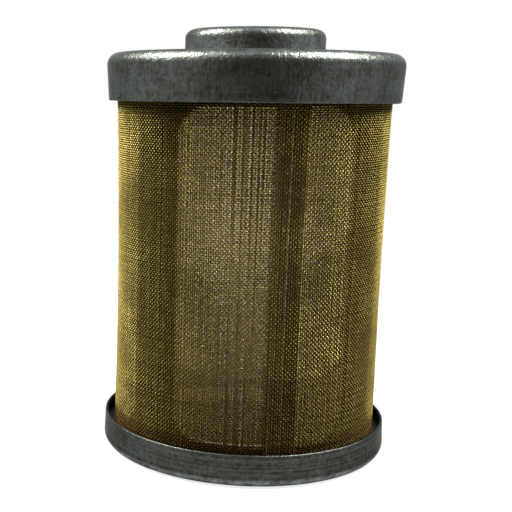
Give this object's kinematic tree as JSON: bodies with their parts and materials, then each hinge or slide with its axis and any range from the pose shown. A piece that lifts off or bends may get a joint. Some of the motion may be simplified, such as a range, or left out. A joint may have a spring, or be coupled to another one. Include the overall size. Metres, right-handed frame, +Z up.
{
  "type": "fuel filter element",
  "caption": "Round strainer element: a wire cloth sleeve over a slotted steel tube, held between drawn caps, with a sealed outlet bore in the raised top boss.",
  "frame": {"origin": "centre of the underside of the bottom cap", "axes": "+Z up along the element's axis, towards the outlet boss; the side at -Y is the front, with the lap of the wire cloth just right of it"},
  "size_m": [0.0582, 0.0582, 0.0837],
  "materials": {
    "cap_steel": "dull zinc plating with drawing marks",
    "tube_steel": "dull zinc plating",
    "brass_cloth": "woven wire, slightly tarnished",
    "adhesive": "cured brown adhesive",
    "seal_rubber": "matt black rubber"
  },
  "bodies": {
    "root": {"top_cap": "cap_steel", "bottom_cap": "cap_steel", "support_tube": "tube_steel", "mesh_sleeve": "brass_cloth", "top_bond": "adhesive", "bottom_bond": "adhesive", "seal_ring": "seal_rubber"}
  },
  "joints": []
}
